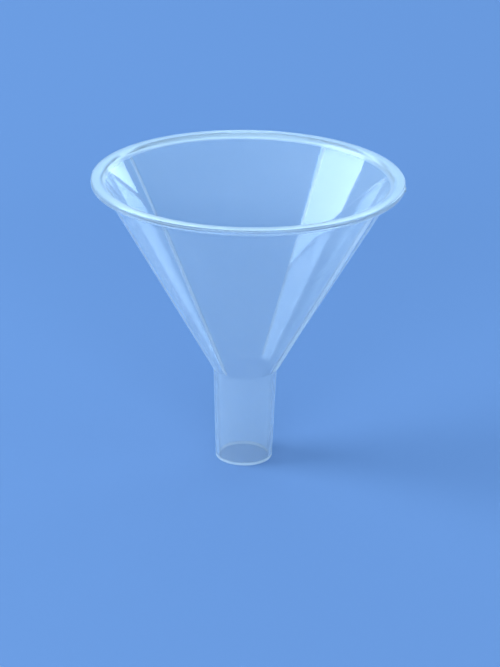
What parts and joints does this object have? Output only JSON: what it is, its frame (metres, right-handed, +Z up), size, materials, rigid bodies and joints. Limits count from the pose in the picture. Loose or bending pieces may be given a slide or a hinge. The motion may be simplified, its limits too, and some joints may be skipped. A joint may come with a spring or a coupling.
{
  "type": "powder funnel",
  "caption": "Translucent plastic powder funnel: flat-rimmed straight cone with slim outside ribs and a short wide stem.",
  "frame": {"origin": "centre of the stem's end face, which the funnel stands on", "axes": "+Z up along the funnel's axis, from the stem's open end to the rim; -Y is the front, and the trimmed gate on the rim lies 8 degrees from +X towards -Y"},
  "size_m": [0.1, 0.1, 0.097],
  "materials": {
    "natural_polypropylene": "moulded, translucent, semi-gloss"
  },
  "bodies": {
    "root": {"rim_flange": "natural_polypropylene", "cone_wall": "natural_polypropylene", "stem": "natural_polypropylene", "rib_front_left": "natural_polypropylene", "rib_front_right": "natural_polypropylene", "rib_back_right": "natural_polypropylene", "rib_back_left": "natural_polypropylene", "gate_mark": "natural_polypropylene"}
  },
  "joints": []
}
